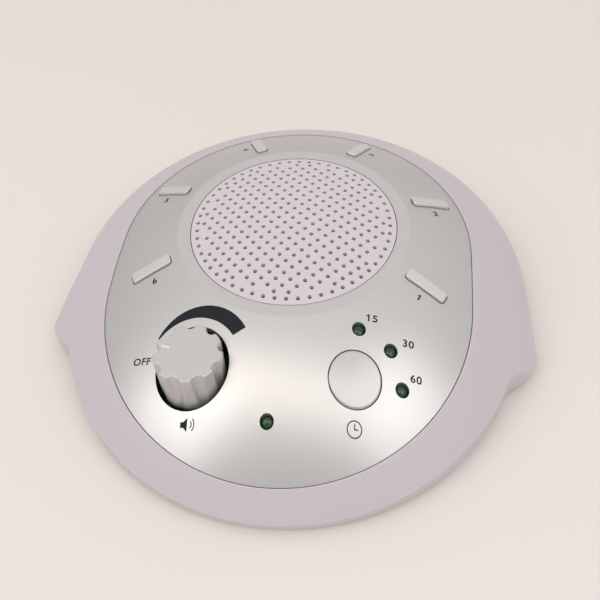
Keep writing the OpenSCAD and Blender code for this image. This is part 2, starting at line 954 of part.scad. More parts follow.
module sound_chip() {
    color(dark) place() translate([4, -60, main_board_top + 0.02]) {
        cube([9, 14, 2.2]);
        for (k = [0:5])
            translate([-1.2, 1.6 + 2 * k, 0]) cube([11.4, 0.8, 0.6]);
    }
}

module capacitors() {
    color(dark) place() {
        translate([-4, -48, main_board_top + 0.02]) cylinder(h = 8, r = 3.1);
        translate([-4, -56, main_board_top + 0.02]) cylinder(h = 8, r = 3.1);
        translate([48, -52, main_board_top + 0.02]) cylinder(h = 7, r = 2.5);
    }
}

// Speaker: gasket under the grille, frame, cone and magnet
gasket_t = 1;
frame_t = 1.2;
speaker_z = grille_flange_top - grille_flange_t - gasket_t - frame_t - 2 * slack;
gasket_in_r = 34.2;
cone_r = 33;
basket_t = 1;
back_r = magnet_r + 1;
back_z = speaker_z - 6;
frame_top = speaker_z + frame_t;

module speaker_gasket() {
    color(dark) place() prism(frame_top + slack, frame_top + slack + gasket_t) difference() {
        circle(r = speaker_r);
        circle(r = gasket_in_r);
    }
}

frame_bore_r = cone_r - basket_t - 0.6;
coil_gap_r = 8;
vent_r = 4;

module speaker_frame() {
    color(steel) place() difference() {
        union() {
            prism(speaker_z, frame_top) circle(r = speaker_r);
            translate([0, 0, back_z]) cylinder(h = speaker_z - back_z, r1 = back_r, r2 = cone_r);
        }
        translate([0, 0, back_z + basket_t])
            cylinder(h = speaker_z - back_z - basket_t, r1 = back_r - basket_t, r2 = frame_bore_r);
        prism(speaker_z - 0.01, frame_top + 1) circle(r = frame_bore_r);
        prism(0, through) circle(r = coil_gap_r);
        for (k = [0:3])
            rotate(45 + 90 * k) translate([back_r + 6, 0]) prism(0, speaker_z - 0.8) circle(r = vent_r);
    }
}

roll_r = 1.1;
cone_t = 0.7;
coil_r = 7.2;
neck_r = 8.6;
cap_ball_r = 12;
cap_r = 10;
rim_r = 34;
rim_t = 0.4;

// Cone with its rolled surround, the rim that lies on the frame, the coil's former and the dust cap
module speaker_cone() {
    rim_z = frame_top + 0.02;
    roll_c = frame_bore_r - 0.3 - roll_r;
    cone_out = roll_c - roll_r / 2;
    cone_low = back_z + 3;
    color(dark) place() rotate_extrude() {
        polygon([
            [neck_r - 2, cone_low], [neck_r, cone_low], [cone_out, rim_z - 0.2],
            [cone_out, rim_z + cone_t], [neck_r - 0.4, cone_low + cone_t], [neck_r - 2, cone_low + cone_t]
        ]);
        translate([roll_c, rim_z + 0.1]) circle(r = roll_r, $fn = 32);
        translate([roll_c, rim_z]) square([rim_r - roll_c, rim_t]);
        translate([coil_r - 0.8, back_z + 1.4]) square([0.8, cone_low - back_z - 0.9]);
        intersection() {
            difference() {
                translate([0, cone_low + 4 - cap_ball_r]) circle(r = cap_ball_r);
                translate([0, cone_low + 4 - cap_ball_r]) circle(r = cap_ball_r - cone_t);
            }
            translate([0, cone_low + 0.2]) square([cap_r, 6]);
        }
    }
}

module speaker_magnet() {
    low = speaker_z + frame_t - speaker_depth;
    color(steel) place() translate([0, 0, low]) {
        cylinder(h = back_z - low - 0.02, r = magnet_r);
    }
}

clip_t = 1.2;
clip_w = 7;
clip_in = 33.8;

module at_clips() {
    for (a = clip_angles)
        rotate(a) children();
}

module speaker_clips() {
    color(steel) place() at_clips() difference() {
        translate([clip_in, -clip_w / 2, speaker_z - slack - 0.02 - clip_t])
            cube([clip_rho + clip_boss_r + 1 - clip_in, clip_w, clip_t]);
        translate([clip_rho, 0]) prism() circle(r = clip_screw_r + 0.2);
    }
}

module clip_screws() {
    head_z = speaker_z - slack - clip_t - 0.04;
    color(steel) place() at_clips() translate([clip_rho, 0, 0]) {
        translate([0, 0, head_z - 1.3]) cylinder(h = 1.3, r = 2);
        translate([0, 0, head_z - 1.3]) cylinder(h = 5.6, r = clip_screw_r);
    }
}

// Power socket in the rear wall
jack_w = 9;
jack_l = 11.5;
jack_low = jack_h - 5;
jack_tall = 9.6;
jack_face = 79.4;
jack_back = jack_face - jack_l;
jack_nose_r = 4.3;
jack_nose_end = shoulder_x + sqrt(pow(shoulder_r, 2) - pow(jack_h + jack_nose_r - shoulder_z, 2)) - 0.2;
jack_bore_l = 9;

module dc_socket() {
    color(dark) place() difference() {
        union() {
            translate([-jack_w / 2, jack_back, jack_low + 0.02]) cube([jack_w, jack_l, jack_tall - 0.02]);
            translate([0, jack_face - 1, jack_h]) rotate([-90, 0, 0])
                cylinder(h = jack_nose_end - jack_face + 1, r = jack_nose_r);
        }
        translate([0, jack_nose_end - jack_bore_l, jack_h]) rotate([-90, 0, 0])
            cylinder(h = through, r = jack_bore_r);
    }
}

module socket_pin() {
    color(steel) place() translate([0, jack_nose_end - jack_bore_l + 0.02, jack_h]) rotate([-90, 0, 0])
        cylinder(h = jack_bore_l - 0.8, r = jack_pin_r);
}

upper_shell();
face_panel();
speaker_grille();
base_plate();
rubber_feet();
housing_screws();
main_board();
key_board();
board_screws();
key_switches();
timer_switch();
volume_control();
power_lamp();
timer_lamp_15();
timer_lamp_30();
timer_lamp_60();
lamp_spacers();
sound_chip();
capacitors();
speaker_gasket();
speaker_frame();
speaker_cone();
speaker_magnet();
speaker_clips();
clip_screws();
dc_socket();
socket_pin();
battery_cells();
contact_plates();
contact_springs();
battery_door();
volume_shaft();
volume_knob();
timer_button();
sound_button_1();
sound_button_2();
sound_button_3();
sound_button_4();
sound_button_5();
sound_button_6();
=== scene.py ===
import math

import bmesh
import bpy
from mathutils import Matrix, Vector


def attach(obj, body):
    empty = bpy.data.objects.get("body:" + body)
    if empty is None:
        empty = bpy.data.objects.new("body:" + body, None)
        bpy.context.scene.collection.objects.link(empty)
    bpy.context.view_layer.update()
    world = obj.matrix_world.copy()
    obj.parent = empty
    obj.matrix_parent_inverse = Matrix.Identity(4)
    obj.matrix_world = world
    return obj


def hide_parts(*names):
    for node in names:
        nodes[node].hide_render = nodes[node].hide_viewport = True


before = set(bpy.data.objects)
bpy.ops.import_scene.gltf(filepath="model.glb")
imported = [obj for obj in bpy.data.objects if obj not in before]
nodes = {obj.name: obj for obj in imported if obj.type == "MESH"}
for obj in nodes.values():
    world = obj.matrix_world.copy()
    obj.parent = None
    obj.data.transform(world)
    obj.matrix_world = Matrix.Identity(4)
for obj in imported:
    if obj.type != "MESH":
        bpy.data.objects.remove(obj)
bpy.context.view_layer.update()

# ---------------------------------------------------------------- sizes, mm
# Points are given about the grille's centre, with z from the table, and are moved by GRILLE_Y.
MM = 0.001
ROUND_STEPS = 96           # of the timer button; lamps and the clock have half as many
GRILLE_Y = 4.6903          # from the footprint's middle to the grille's centre
RIM_H = 38.0
DOME_R = 140.0             # the panel's ball
SHELL_R = 140.6            # the shell's ball
RING_R = 41.8              # where the flat ring round the grille meets the dome
BALL_Z = RIM_H - math.sqrt(DOME_R ** 2 - RING_R ** 2)
EDGE_H = 2.5               # underside of the shell's rim

CAPE_R = 89.2
SHOULDER_R = 29.0
SHOULDER_RUN = 14.5        # the shoulder's arc starts this far outside its centre line
NO_SURFACE = -100.0        # outside the shoulder
SHOULDER_X = CAPE_R - SHOULDER_R
SHOULDER_POKE = 0.1         # how far the shoulder's arc stands above the dome
SHOULDER_C = SHELL_R - SHOULDER_R + SHOULDER_POKE
SHOULDER_Z = BALL_Z + math.sqrt(SHOULDER_C ** 2 - SHOULDER_X ** 2)
REAR_REACH = SHOULDER_X + math.sqrt(SHOULDER_R ** 2 - (EDGE_H - SHOULDER_Z) ** 2)

WING_SPLAY = math.radians(2.6)
WING_SWEEP = math.radians(36.0)
WING_REACH = 37.0
SEAM_REACH = 34.0          # where the base plate's own wings end
WING_ROUND = 7.0
WING_INNER_X = 40.0        # nearer the middle than this the round front alone makes the outline
NOTCH_R = 12.0
NOTCH_BITE = 0.15
NOTCH_DEPTH = 6.0
FRONT_R = 82.5
FRONT_SHIFT = 15.8
FRONT_START = -17.0
PLAN_MIN = 60.0            # the housing's edge lies between these distances from the panel's middle
PLAN_MAX = 130.0
HALVINGS = 40

WALL = 2.4
LIP_ROUND = 0.7
CREST_STEP = 0.02          # outside the recess wall, where the lip's height is read
ROOF_MIN = EDGE_H + 0.3    # least height of the shell's inside
RIM_ROUND = 0.35
RIM_MIN = 0.8              # height of the rim that its rounding leaves upright
RIM_CHAMFER = (0.3, 0.2)   # in and up
RECESS = 3.2
SHELL_STEPS = 900
DOME_STEPS = 30
INSIDE_STEPS = 12
SOCKET_H = 9.5
SOCKET_HOLE_R = 4.4
SOCKET_START = 70.0

PANEL_R = 64.2
PANEL_SHIFT = 25.0
PANEL_MIDDLE = (0.0, -PANEL_SHIFT / 2)
PANEL_GAP = 0.22
PANEL_T = 2.0

FLANGE_W = 1.1             # the caps' flanges under the panel
FLANGE_TOP = -PANEL_T - 0.35
FLANGE_FOOT = -PANEL_T - 1.5
CAP_FOOT = -PANEL_T - 0.3
KEY_L = 14.4
KEY_W = 4.2
KEY_CORNER_R = 1.1
KEY_RHO = 52.7             # from the grille's centre to a button's middle
KEY_PITCH = 45.8           # degrees from button to button
KEY_RISE = 1.1
KEY_EDGE = 0.3
KEY_INSETS = (-2.0, -1.4, -KEY_EDGE - 0.15)  # rings that carry the cap's curved top
KEY_FOOT_INSET = -0.6
TIMER_R = 8.35
TIMER_AT = (26.4, -57.9)
TIMER_RISE = 0.3
TIMER_EDGE = 0.5
TIMER_STEM_R = 2.4
# radius and rise of the rings on the timer button's top
TIMER_TOP = ((1.0, TIMER_RISE + 0.12), (4.0, TIMER_RISE + 0.1), (TIMER_R - TIMER_EDGE - 0.4, TIMER_RISE))
KNOB_AT = (-26.4, -58.0)
KNOB_R = 11.1
KNOB_TOP = 37.2
KNOB_FOOT = 20.4
KNOB_EDGE = 0.5
FLUTES = 9
FLUTE_R = 2.2
FLUTE_OUT = 0.6            # the flutes' centres lie this far outside the drum
FLUTE_LEAN = math.radians(5)
FLUTE_TURN = math.radians(18)
ARRIS = 0.35               # softness of the edge between flute and drum
KNOB_STEPS = FLUTES * 40
POINTER_TURN = math.radians(168)
POINTER = (6.2, 9.0, 0.36)  # start, end and half width
POINTER_DEEP = 0.2
POINTER_PROUD = 0.02

INK_T = 0.03
MARK_LINE = 0.32           # line width of the clock and loudspeaker signs
MARK_ROWS = 8
MINUTES = {"15": (30.45, -38.4), "30": (42.6, -43.9), "60": (45.7, -54.0)}
MINUTES_H = 2.35
OFF_AT = (-44.6, -55.05)
OFF_H = 2.2
CLOCK_AT = (27.3, -71.6)
CLOCK_R = 2.1
SPEAKER_AT = (-25.6, -74.2)
SPEAKER_SIZE = 2.5
FIGURE_OFF = 5.7           # from a button's middle to its figure
FIGURE_H = 2.3
# the volume wedge's edges, each from its thin end by way of a third point to its thick end
WEDGE_OUTER = ((-39.8, -48.3), (-23.1, -38.5), (-9.9, -45.9))
WEDGE_INNER = ((-39.4, -48.6), (-26.2, -42.5), (-13.8, -48.5))
WEDGE_STEPS = 60

LAMP_AT = {
    "power_lens": (0.0, -72.7), "lens_15": (26.5, -42.6), "lens_30": (37.1, -47.3), "lens_60": (41.5, -58.0)
}
LENS_R = 2.12
LENS_SINK = 0.55
LENS_DOME = 1.7
LENS_H = 2.6
LENS_SLOPE_R = DOME_R * 0.9

# ---------------------------------------------------------------- view and light
CAMERA_TURN = (math.radians(9.79), math.radians(50.40), math.radians(-3.89))  # azimuth, elevation, roll
CAMERA_AT = (31.74, -180.65 + GRILLE_Y, 179.26 + RIM_H)
FOCAL_PIXELS = 706.8
PHOTO_PIXELS = 600.0
SENSOR = 36.0

FLOOR_HALF = 6.0
ROOM_LEVEL = 0.47
ROOM_BACK = 0.12
ROOM_UP = 0.36
ROOM_COLOUR = (1.0, 0.985, 0.975, 1.0)
WARM = (1.0, 0.93, 0.84)
WHITE = (1.0, 1.0, 1.0)
# name, place, target, size, power, colour
LIGHTS = (
    ("top_box", (-0.15, -0.44, 1.0), (-0.1, -0.12, 0), (1.0, 0.36), 1.2, WARM),
    ("left_box", (-0.86, -0.62, 0.92), (0, 0, 0), (0.75, 0.75), 2.3, WHITE),
    ("right_box", (0.75, -0.48, 0.95), (0, 0, 0), (0.7, 0.7), 1.9, WHITE),
)


def ball_top(r, x, y):
    """Height of the ball of radius r over a point in the grille's own plan."""
    return BALL_Z + math.sqrt(max(r * r - x * x - y * y, 0.0))


def srgb(*values):
    """0 to 255 display values as linear colour."""
    out = []
    for v in values:
        c = v / 255.0
        out.append(c / 12.92 if c <= 0.04045 else ((c + 0.055) / 1.055) ** 2.4)
    return (*out, 1.0)


# ---------------------------------------------------------------- camera
def make_camera():
    """The photograph's viewpoint, solved from the grille's rim and the panel's outline."""
    az, el, roll = CAMERA_TURN
    centre = Vector(CAMERA_AT) * MM
    back = Vector((math.sin(az) * math.cos(el), -math.cos(az) * math.cos(el), math.sin(el)))
    right = Vector((math.cos(az), math.sin(az), 0.0))
    up = back.cross(right)
    side = right * math.cos(roll) + up * math.sin(roll)
    top = up * math.cos(roll) - right * math.sin(roll)
    camera = bpy.data.cameras.new("camera")
    camera.sensor_width = SENSOR
    camera.lens = SENSOR * FOCAL_PIXELS / PHOTO_PIXELS
    camera.clip_start = 0.01
    camera.clip_end = 20.0
    holder = bpy.data.objects.new("camera", camera)
    turn = Matrix((side, top, back)).transposed().to_4x4()
    holder.matrix_world = Matrix.Translation(centre) @ turn
    bpy.context.scene.collection.objects.link(holder)
    bpy.context.scene.camera = holder


# ---------------------------------------------------------------- materials
def new_material(name):
    """An empty node material with one shader."""
    material = bpy.data.materials.new(name)
    material.use_nodes = True
    tree = material.node_tree
    tree.nodes.clear()
    out = tree.nodes.new("ShaderNodeOutputMaterial")
    shader = tree.nodes.new("ShaderNodeBsdfPrincipled")
    tree.links.new(shader.outputs[0], out.inputs["Surface"])
    return material, tree, shader


def noise(tree, scale, detail=3.0, rough=0.5):
    """Noise from 0 to 1 on the object's own coordinates; scale in cells per metre."""
    coords = tree.nodes.new("ShaderNodeTexCoord")
    texture = tree.nodes.new("ShaderNodeTexNoise")
    texture.inputs["Scale"].default_value = scale
    texture.inputs["Detail"].default_value = detail
    texture.inputs["Roughness"].default_value = rough
    tree.links.new(coords.outputs["Object"], texture.inputs["Vector"])
    return texture.outputs["Fac"]


def between(tree, factor, low, high):
    """Factor from 0 to 1, as a number from low to high."""
    span = tree.nodes.new("ShaderNodeMapRange")
    span.inputs["From Min"].default_value = 0.3
    span.inputs["From Max"].default_value = 0.7
    span.inputs["To Min"].default_value = low
    span.inputs["To Max"].default_value = high
    tree.links.new(factor, span.inputs["Value"])
    return span.outputs["Result"]


def tinted(tree, factor, dark, light):
    """Factor from 0 to 1, as a colour from dark to light."""
    ramp = tree.nodes.new("ShaderNodeValToRGB")
    ramp.color_ramp.elements[0].position = 0.3
    ramp.color_ramp.elements[0].color = dark
    ramp.color_ramp.elements[1].position = 0.7
    ramp.color_ramp.elements[1].color = light
    tree.links.new(factor, ramp.inputs["Fac"])
    return ramp.outputs["Color"]


def bumped(tree, factor, distance, strength=0.5):
    """Factor as a relief of the surface, distance in metres."""
    bump = tree.nodes.new("ShaderNodeBump")
    bump.inputs["Strength"].default_value = strength
    bump.inputs["Distance"].default_value = distance
    tree.links.new(factor, bump.inputs["Height"])
    return bump.outputs["Normal"]


def scaled(colour, factor):
    """A colour made lighter or darker."""
    return (*[min(c * factor, 1.0) for c in colour[:3]], 1.0)


def surface(name, colour, roughness, metallic=0.0, vary=0.04, grain=1200.0, bump=0.00002,
            cloud=40.0, spread=0.05, coat=0.0, specular=0.5):
    """A solid surface: fine grain in colour and height, and slow changes of roughness."""
    material, tree, shader = new_material(name)
    fine = noise(tree, grain)
    slow = noise(tree, cloud, 2.0)
    tree.links.new(
        tinted(tree, fine, scaled(colour, 1 - vary), scaled(colour, 1 + vary)), shader.inputs["Base Color"]
    )
    tree.links.new(between(tree, slow, roughness - spread, roughness + spread), shader.inputs["Roughness"])
    tree.links.new(bumped(tree, fine, bump), shader.inputs["Normal"])
    shader.inputs["Metallic"].default_value = metallic
    shader.inputs["Coat Weight"].default_value = coat
    shader.inputs["Specular IOR Level"].default_value = specular
    return material


def lamp_surface():
    """Clear dark green epoxy under a smooth coat."""
    material, tree, shader = new_material("lamp_epoxy")
    slow = noise(tree, 700.0, 2.0)
    tree.links.new(tinted(tree, slow, srgb(3, 40, 15), srgb(10, 76, 28)), shader.inputs["Base Color"])
    tree.links.new(between(tree, slow, 0.08, 0.16), shader.inputs["Roughness"])
    shader.inputs["Coat Weight"].default_value = 0.6
    shader.inputs["Coat Roughness"].default_value = 0.05
    return material


def board_surface():
    """Green solder mask over lighter tracks."""
    material, tree, shader = new_material("solder_mask")
    coords = tree.nodes.new("ShaderNodeTexCoord")
    tracks = tree.nodes.new("ShaderNodeTexVoronoi")
    tracks.feature = "DISTANCE_TO_EDGE"
    tracks.inputs["Scale"].default_value = 260.0
    tree.links.new(coords.outputs["Object"], tracks.inputs["Vector"])
    ramp = tree.nodes.new("ShaderNodeValToRGB")
    ramp.color_ramp.interpolation = "CONSTANT"
    ramp.color_ramp.elements[0].color = srgb(52, 128, 74)
    ramp.color_ramp.elements[1].position = 0.08
    ramp.color_ramp.elements[1].color = srgb(22, 88, 48)
    tree.links.new(tracks.outputs["Distance"], ramp.inputs["Fac"])
    tree.links.new(ramp.outputs["Color"], shader.inputs["Base Color"])
    shader.inputs["Roughness"].default_value = 0.35
    return material


LILAC = srgb(208, 199, 205)
SILVER = srgb(214, 212, 210)
BACKDROP = srgb(242, 234, 229)

MATERIALS = {
    "lilac": surface("lilac_plastic", LILAC, 0.42, vary=0.012, grain=2600.0, bump=0.000008, spread=0.04),
    "grille": surface("grille_plastic", srgb(221, 211, 217), 0.42, vary=0.012, grain=2600.0, bump=0.000008,
                      spread=0.04),
    "silver": surface("silver_paint", SILVER, 0.34, metallic=0.9, vary=0.03, grain=7000.0, bump=0.000003,
                      cloud=30.0, spread=0.015),
    "knob": surface("knob_paint", srgb(212, 210, 209), 0.4, metallic=0.6, vary=0.03, grain=7000.0,
                    bump=0.000003, cloud=60.0, spread=0.03),
    "cap": surface("cap_paint", srgb(202, 200, 199), 0.34, metallic=0.8, vary=0.03, grain=7000.0,
                   bump=0.000003, cloud=60.0, spread=0.03),
    # sound buttons: the panel's own silver made lighter, a painted highlight for the light their tops catch
    "key": surface("key_silver_painted_highlight", srgb(228, 226, 224), 0.36, metallic=0.75, vary=0.03, grain=7000.0,
                   bump=0.000003, cloud=60.0, spread=0.03),
    "print": surface("print_ink", srgb(30, 32, 38), 0.6, vary=0.08, grain=3000.0, bump=0.000004,
                     specular=0.25),
    "mark": surface("pointer_ink", srgb(240, 240, 240), 0.45, vary=0.02, grain=3000.0, bump=0.000004),
    "dark": surface("black_plastic", srgb(38, 39, 42), 0.5, vary=0.1, grain=1800.0, bump=0.00001),
    "rubber": surface("rubber", srgb(44, 43, 43), 0.75, vary=0.1, grain=1500.0, bump=0.00003),
    "steel": surface("plated_steel", srgb(196, 197, 200), 0.3, metallic=1.0, vary=0.05, grain=900.0,
                     bump=0.000006, cloud=120.0),
    "foam": surface("foam", srgb(40, 40, 42), 0.9, vary=0.2, grain=1100.0, bump=0.0001),
    "paper": surface("cone_paper", srgb(52, 51, 50), 0.85, vary=0.15, grain=700.0, bump=0.00005),
    "jacket": surface("cell_sleeve", srgb(58, 60, 68), 0.28, vary=0.05, grain=300.0, bump=0.00001,
                      coat=0.4),
    "lamp": lamp_surface(),
    "board": board_surface(),
}

NODE_LOOKS = {
    "upper_shell": "lilac", "base_plate": "lilac", "battery_door": "lilac", "speaker_grille": "grille",
    "face_panel": "silver", "volume_knob": "knob", "timer_button": "cap", "rubber_feet": "rubber",
    "main_board": "board", "key_board": "board", "key_switches": "dark", "timer_switch": "dark",
    "power_lamp": "lamp", "timer_lamp_15": "lamp", "timer_lamp_30": "lamp", "timer_lamp_60": "lamp",
    "lamp_spacers": "dark", "sound_chip": "dark", "capacitors": "dark", "speaker_gasket": "foam",
    "speaker_cone": "paper", "dc_socket": "dark", "battery_cells": "jacket",
}


def dress(piece, look):
    """Gives a piece one of the materials."""
    piece.data.materials.clear()
    piece.data.materials.append(MATERIALS[look])


# ---------------------------------------------------------------- mesh helpers
def shade(mesh, smooth):
    """Joins doubled points, turns faces outwards and keeps edges sharp above an angle in degrees."""
    bm = bmesh.new()
    bm.from_mesh(mesh)
    bmesh.ops.remove_doubles(bm, verts=bm.verts, dist=1e-7)
    bmesh.ops.recalc_face_normals(bm, faces=bm.faces)
    limit = math.radians(smooth)
    for face in bm.faces:
        face.smooth = True
    for edge in bm.edges:
        edge.smooth = len(edge.link_faces) != 2 or edge.calc_face_angle(0.0) <= limit
    bm.to_mesh(mesh)
    bm.free()


def add_piece(name, mesh_data, look, body="housing", smooth=35.0):
    """Makes an object from (points in mm about the grille, faces) and lets it ride on a body."""
    points, faces = mesh_data
    mesh = bpy.data.meshes.new(name)
    mesh.from_pydata([(x * MM, (y + GRILLE_Y) * MM, z * MM) for x, y, z in points], [], faces)
    shade(mesh, smooth)
    piece = bpy.data.objects.new(name, mesh)
    bpy.context.scene.collection.objects.link(piece)
    dress(piece, look)
    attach(piece, body)
    return piece


def bore(piece, x, z, radius, start, end, smooth=40.0):
    """Cuts a round hole along y through a piece, mm about the grille."""
    mesh = bpy.data.meshes.new("bore")
    bm = bmesh.new()
    bmesh.ops.create_cone(
        bm, cap_ends=True, segments=64,
        radius1=radius * MM, radius2=radius * MM, depth=(end - start) * MM
    )
    place = Matrix.Translation(Vector((x, (start + end) / 2 + GRILLE_Y, z)) * MM)
    bm.transform(place @ Matrix.Rotation(math.pi / 2, 4, "X"))
    bm.to_mesh(mesh)
    bm.free()
    cutter = bpy.data.objects.new("bore", mesh)
    bpy.context.scene.collection.objects.link(cutter)
    cut = piece.modifiers.new("bore", "BOOLEAN")
    cut.operation = "DIFFERENCE"
    cut.solver = "EXACT"
    cut.object = cutter
    bpy.context.view_layer.update()
    result = bpy.data.meshes.new_from_object(piece.evaluated_get(bpy.context.evaluated_depsgraph_get()))
    piece.modifiers.clear()
    piece.data = result
    shade(result, smooth)
    bpy.data.objects.remove(cutter)
    bpy.data.meshes.remove(mesh)


# a box whose first four corners lie below the other four
BOX_FACES = ((3, 2, 1, 0), (4, 5, 6, 7), (0, 1, 5, 4), (1, 2, 6, 5), (2, 3, 7, 6), (3, 0, 4, 7))


def ring_mesh(rings, closed=True):
    """Faces between rings of as many points each; closed joins the last ring to the first."""
    count = len(rings[0])
    points = [p for ring in rings for p in ring]
    faces = []
    for r in range(len(rings) if closed else len(rings) - 1):
        a = r * count
        b = (r + 1) % len(rings) * count
        for k in range(count):
            n = (k + 1) % count
            faces.append((a + k, a + n, b + n, b + k))
    return points, faces


def capped_mesh(rings):
    """A closed solid: rings from the middle of the top, down the outside, to the middle of the bottom."""
    points, faces = ring_mesh(rings, closed=False)
    count = len(rings[0])
    faces.append(tuple(range(count)))
    last = (len(rings) - 1) * count
    faces.append(tuple(range(last + count - 1, last - 1, -1)))
    return points, faces


# ---------------------------------------------------------------- the moulded upper shell
SIDE_N = (math.cos(WING_SPLAY), math.sin(WING_SPLAY))
SIDE_ALONG = (math.sin(WING_SPLAY), -math.cos(WING_SPLAY))
SWEEP_N = (math.sin(WING_SWEEP), -math.cos(WING_SWEEP))


def dot(a, b):
    """Dot product of two plan vectors."""
    return a[0] * b[0] + a[1] * b[1]


def sweep_distance(reach):
    """Distance of a wing's front edge from the middle, along the edge's normal."""
    tip = (SIDE_N[0] * CAPE_R + SIDE_ALONG[0] * reach, SIDE_N[1] * CAPE_R + SIDE_ALONG[1] * reach)
    return dot(tip, SWEEP_N)


def notch_centre(sweep_d):
    """Middle of the hollow's arc, which touches a wing's front edge and the round front."""
    off = sweep_d + NOTCH_R - NOTCH_BITE + FRONT_SHIFT * SWEEP_N[1]
    run = math.sqrt((FRONT_R + NOTCH_R - NOTCH_BITE) ** 2 - off * off)
    return (
        SWEEP_N[0] * off + math.cos(WING_SWEEP) * run,
        -FRONT_SHIFT + SWEEP_N[1] * off + math.sin(WING_SWEEP) * run,
    )


WINGS = {
    reach: (sweep_distance(reach), notch_centre(sweep_distance(reach))) for reach in (WING_REACH, SEAM_REACH)
}


def shoulder(distance):
    """Height of the shoulder's arc at a distance from the middle, or None where the dome is alone."""
    if distance <= SHOULDER_X + SHOULDER_RUN:
        return None
    inside = SHOULDER_R ** 2 - (distance - SHOULDER_X) ** 2
    return SHOULDER_Z + math.sqrt(inside) if inside > 0 else NO_SURFACE


def in_front(x, y):
    """Inside the round front."""
    return math.hypot(x, y + FRONT_SHIFT) <= FRONT_R


def in_wing(x, y, sweep_d):
    """Inside a wing's swept edge with its rounded corner, and in front of the side's start."""
    out = sweep_d - dot((x, y), SWEEP_N)
    side = REAR_REACH - dot((x, y), SIDE_N)
    if dot((x, y), SIDE_ALONG) < 0 or out < 0 or side < 0:
        return False
    near = out < WING_ROUND and side < WING_ROUND
    return not near or math.hypot(WING_ROUND - out, WING_ROUND - side) <= WING_ROUND


def in_notch(x, y, centre):
    """In the hollow between the wing's edge and the round front."""
    dx, dy = x - centre[0], y - centre[1]
    far = math.hypot(dx, dy)
    if far < NOTCH_R or far > NOTCH_R + NOTCH_DEPTH:
        return False
    front = (-centre[0], -FRONT_SHIFT - centre[1])
    reach = math.hypot(*front)
    spread = -dot(SWEEP_N, front) / reach
    return -dot((dx, dy), SWEEP_N) / far >= spread and dot((dx, dy), front) / (far * reach) >= spread


def in_plan(x, y, reach):
    """Inside the housing's outline, with wings of the given reach."""
    x = abs(x)
    if dot((x, y), SIDE_ALONG) < 0:
        return math.hypot(x, y) <= REAR_REACH
    sweep_d, centre = WINGS[reach]
    if y < FRONT_START and in_front(x, y):
        return True
    if x < WING_INNER_X and y < -WING_INNER_X:
        return False
    return in_wing(x, y, sweep_d) or in_notch(x, y, centre)


def shell_height(x, y):
    """Height of the shell's outer surface over a point of its plan."""
    x = abs(x)
    top = ball_top(SHELL_R, x, y)
    behind = x * SIDE_ALONG[0] + y * SIDE_ALONG[1] < 0
    if not behind and y < FRONT_START and in_front(x, y):
        return top
    distance = math.hypot(x, y) if behind else x * SIDE_N[0] + y * SIDE_N[1]
    arc = shoulder(distance)
    return top if arc is None else min(top, arc)


def recess_reach(angle):
    """From the panel's middle to the wall of its recess, a stadium, in a direction."""
    r = PANEL_R + PANEL_GAP
    dx, dy = math.cos(angle), math.sin(angle)
    half = PANEL_SHIFT / 2
    if abs(r * dy) <= half * abs(dx):
        return r / abs(dx)
    c = math.copysign(half, dy)
    b = dy * c
    return b + math.sqrt(b * b - c * c + r * r)


def plan_point(way, r):
    """The plan point at distance r from the panel's middle."""
    return PANEL_MIDDLE[0] + way[0] * r, PANEL_MIDDLE[1] + way[1] * r


def shell_point(way, r, drop=0.0):
    """The point on the shell's outer surface, or drop below it, at distance r from the panel's middle."""
    x, y = plan_point(way, r)
    return x, y, shell_height(x, y) - drop


def plan_reach(way, reach):
    """From the panel's middle to the edge of the housing, in a direction."""
    low, high = PLAN_MIN, PLAN_MAX
    for _ in range(HALVINGS):
        mid = (low + high) / 2
        if in_plan(*plan_point(way, mid), reach):
            low = mid
        else:
            high = mid
    return low


def recess_section(way, low):
    """Up the recess wall and round the lip."""
    crest = shell_point(way, low + CREST_STEP)[2]
    x, y = plan_point(way, low)
    section = [(x, y, crest - RECESS), (x, y, crest - LIP_ROUND)]
    for j in range(1, 4):
        a = math.pi / 2 * j / 4
        section.append(shell_point(way, low + LIP_ROUND * (1 - math.cos(a)), LIP_ROUND * (1 - math.sin(a))))
    return section


def outer_section(way, start, high):
    """Over the dome and the shoulder, round the rim's edge, down the rim and under it."""
    section = []
    stand = shell_point(way, high)[2] - EDGE_H
    brow = min(RIM_ROUND, max(stand - RIM_MIN, 0.02) / 2)
    for j in range(DOME_STEPS + 1):
        share = math.sin(math.pi / 2 * j / DOME_STEPS)
        section.append(shell_point(way, start + (high - brow - start) * share))
    top = shell_point(way, high - brow)[2]
    for j in range(1, 4):
        a = math.pi / 2 * j / 3
        x, y = plan_point(way, high - brow + brow * math.sin(a))
        # always a little lower than the point before, also where the rim has no height
        section.append((x, y, min(top - brow * (1 - math.cos(a)), top - 0.001 * j)))
    wall_top = section[-1][2]
    wall_foot = min(EDGE_H + RIM_CHAMFER[1], wall_top - 0.01)
    for share in (0.33, 0.66, 1.0):
        section.append((x, y, wall_top + (wall_foot - wall_top) * share))
    section.append((*plan_point(way, high - RIM_CHAMFER[0]), EDGE_H))
    return section


def inner_section(way, low, seam):
    """From the rim's inner edge, along the inside of the shell, back to the foot of the recess wall."""
    inner = seam - WALL
    section = [(*plan_point(way, inner), EDGE_H)]
    start = low + WALL
    for j in range(INSIDE_STEPS, -1, -1):
        share = math.sin(math.pi / 2 * j / INSIDE_STEPS)
        x, y = plan_point(way, start + (inner - start) * share)
        section.append((x, y, max(shell_height(x, y) - WALL - WALL * share, ROOF_MIN)))
    crest = shell_point(way, low + CREST_STEP)[2]
    section.append((*plan_point(way, start), crest - RECESS))
    return section


